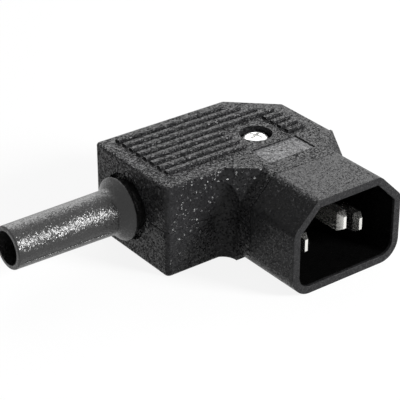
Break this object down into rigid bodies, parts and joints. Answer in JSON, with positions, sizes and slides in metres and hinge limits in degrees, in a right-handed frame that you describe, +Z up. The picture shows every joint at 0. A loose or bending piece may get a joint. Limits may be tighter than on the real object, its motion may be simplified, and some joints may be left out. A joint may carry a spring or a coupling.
{
  "type": "rewireable right-angle c14 power plug",
  "caption": "Right-angle rewireable appliance plug: two-shell housing with grip ribs, a chamfered pin shroud and a rubber bend relief for the cord.",
  "frame": {"origin": "centre of the shroud's rim, in the plane where the two shells meet", "axes": "the pins point along -Y out of the shroud, the cord leaves along -X, and +Z is up through the cover with the ribs and the screw"},
  "size_m": [0.069, 0.0454, 0.0203],
  "materials": {
    "housing": "matte, spark-eroded",
    "carrier": "matte",
    "pin_plating": "nickel plated, satin",
    "brass": "drawn",
    "screw_steel": "zinc plated",
    "boot_rubber": "matte"
  },
  "bodies": {
    "root": {"base_shell": "housing", "cover_shell": "housing", "contact_carrier": "carrier", "line_pin": "pin_plating", "neutral_pin": "pin_plating", "earth_pin": "pin_plating", "line_terminal": "brass", "neutral_terminal": "brass", "earth_terminal": "brass", "line_terminal_screw": "screw_steel", "neutral_terminal_screw": "screw_steel", "earth_terminal_screw": "screw_steel", "line_wire_guard": "screw_steel", "neutral_wire_guard": "screw_steel", "earth_wire_guard": "screw_steel", "cord_clamp_bar": "housing", "front_clamp_screw": "screw_steel", "rear_clamp_screw": "screw_steel", "bend_relief": "boot_rubber", "housing_screw": "screw_steel", "threaded_insert": "brass"}
  },
  "joints": []
}
